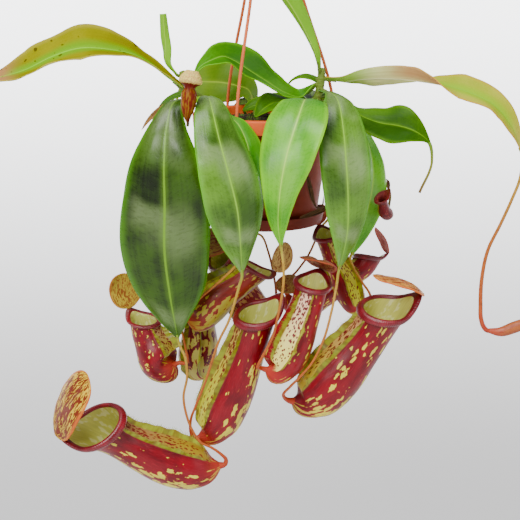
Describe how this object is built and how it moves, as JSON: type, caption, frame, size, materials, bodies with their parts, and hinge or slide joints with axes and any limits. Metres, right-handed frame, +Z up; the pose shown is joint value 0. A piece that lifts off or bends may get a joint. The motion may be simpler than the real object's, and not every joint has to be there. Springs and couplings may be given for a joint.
{
  "type": "potted pitcher plant",
  "caption": "Tropical pitcher plant with hanging leaves and crimson pitchers in a terracotta-coloured hanging pot.",
  "frame": {"origin": "inner top of the hook's curve, where the rail or ceiling hook carries it", "axes": "+Z up along the pot's axis, -Y toward the side that the picture shows, +X to its right"},
  "size_m": [0.4439, 0.2045, 0.5336],
  "materials": {
    "terracotta_plastic": "satin moulded plastic",
    "saucer_plastic": "satin moulded plastic",
    "hanger_plastic": "satin moulded plastic",
    "bark_soil": "damp bark mix",
    "stem": "green bark",
    "leaf": "glossy leaf",
    "tendril": "smooth plant skin",
    "pitcher": "satin plant skin with a waxy lip",
    "lid": "satin freckled plant skin"
  },
  "bodies": {
    "root": {"hanger": "hanger_plastic", "leaf_01": "leaf", "leaf_02": "leaf", "leaf_03": "leaf", "leaf_04": "leaf", "leaf_05": "leaf", "leaf_06": "leaf", "leaf_07": "leaf", "leaf_08": "leaf", "leaf_09": "leaf", "leaf_10": "leaf", "leaf_11": "leaf", "leaf_12": "leaf", "leaf_13": "leaf", "leaf_14": "leaf", "leaf_15": "leaf", "leaf_16": "leaf", "leaf_17": "leaf", "leaf_18": "leaf", "leaf_19": "leaf", "leaf_20": "leaf", "lid_01": "lid", "lid_02": "lid", "lid_03": "lid", "lid_04": "lid", "lid_05": "lid", "lid_06": "lid", "lid_07": "lid", "lid_08": "lid", "lid_09": "lid", "pitcher_01": "pitcher", "pitcher_02": "pitcher", "pitcher_03": "pitcher", "pitcher_04": "pitcher", "pitcher_05": "pitcher", "pitcher_06": "pitcher", "pitcher_07": "pitcher", "pitcher_08": "pitcher", "pitcher_09": "pitcher", "pitcher_10": "pitcher", "pitcher_11": "pitcher", "pitcher_12": "pitcher", "pitcher_13": "pitcher", "pot": "terracotta_plastic", "saucer": "saucer_plastic", "soil": "bark_soil", "stem_back": "stem", "stem_left": "stem", "stem_right": "stem", "tendril_01": "tendril", "tendril_02": "tendril", "tendril_03": "tendril", "tendril_04": "tendril", "tendril_05": "tendril", "tendril_06": "tendril", "tendril_07": "tendril", "tendril_08": "tendril", "tendril_09": "tendril", "tendril_10": "tendril", "tendril_11": "tendril"}
  },
  "joints": []
}
